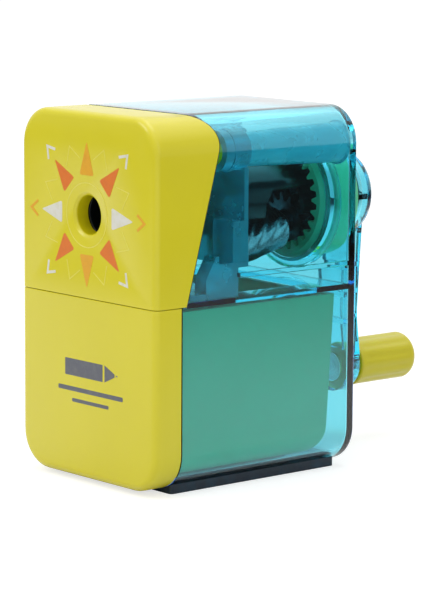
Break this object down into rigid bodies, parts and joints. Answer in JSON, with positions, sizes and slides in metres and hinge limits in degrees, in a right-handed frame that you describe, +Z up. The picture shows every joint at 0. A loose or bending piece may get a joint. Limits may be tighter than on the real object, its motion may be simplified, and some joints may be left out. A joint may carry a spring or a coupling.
{
  "type": "pencil sharpener",
  "caption": "Desk pencil sharpener with a hand crank that turns a tilted helical cutter around the pencil, and a pull-out drawer for the shavings below.",
  "frame": {"origin": "underside of the base pad, on the middle plane and midway along the body's depth", "axes": "+X to the right seen from the pencil side, -Y towards the user who holds the pencil, +Y towards the crank, +Z up"},
  "size_m": [0.048, 0.0979, 0.083],
  "materials": {
    "clear_blue": "clear tinted polystyrene, glossy",
    "yellow_plastic": "opaque yellow ABS, soft gloss",
    "green_plastic": "opaque light green ABS, satin",
    "white_nylon": "natural nylon",
    "bronze": "sintered bronze",
    "navy_rubber": "dark navy rubber",
    "bright_steel": "zinc plated steel",
    "dark_steel": "oiled dark steel",
    "cutter_steel": "ground tool steel",
    "black_plastic": "black acetal"
  },
  "bodies": {
    "housing": {"rear_housing": "clear_blue", "front_hood": "yellow_plastic", "inner_frame": "clear_blue", "guide_tube": "black_plastic", "front_bush": "white_nylon", "ring_gear": "green_plastic", "rear_bush": "bronze", "base_pad": "navy_rubber", "housing_screws": "bright_steel"},
    "crank": {"cutter_carrier": "black_plastic", "cutter_pin": "bright_steel", "drive_shaft": "bright_steel", "thrust_washer": "white_nylon", "crank_washer": "bright_steel", "crank_arm": "clear_blue", "drive_pin": "dark_steel", "crank_screw": "bright_steel", "knob_pin": "bright_steel"},
    "cutter": {"helical_cutter": "cutter_steel", "cutter_pinion": "dark_steel"},
    "knob": {"knob": "yellow_plastic"},
    "drawer": {"drawer_front": "yellow_plastic", "drawer_tray": "green_plastic"}
  },
  "joints": [
    {"name": "crank_turn", "type": "hinge", "parent": "housing", "child": "crank", "pos_m": [0, 0.03, 0.0603], "axis": [0, 1, 0], "continuous": true},
    {"name": "cutter_spin", "type": "hinge", "parent": "crank", "child": "cutter", "pos_m": [0, 0.0296, 0.05516], "axis": [0, 0.9703, 0.2419], "continuous": true},
    {"name": "knob_spin", "type": "hinge", "parent": "crank", "child": "knob", "pos_m": [0, 0.058, 0.019], "axis": [0, 1, 0], "continuous": true},
    {"name": "drawer_slide", "type": "slide", "parent": "housing", "child": "drawer", "axis": [0, -1, 0], "range_m": [0, 0.044]}
  ],
  "couplings": [
    {"joint": "cutter_spin", "follows": "crank_turn", "ratio": -1.7857}
  ]
}
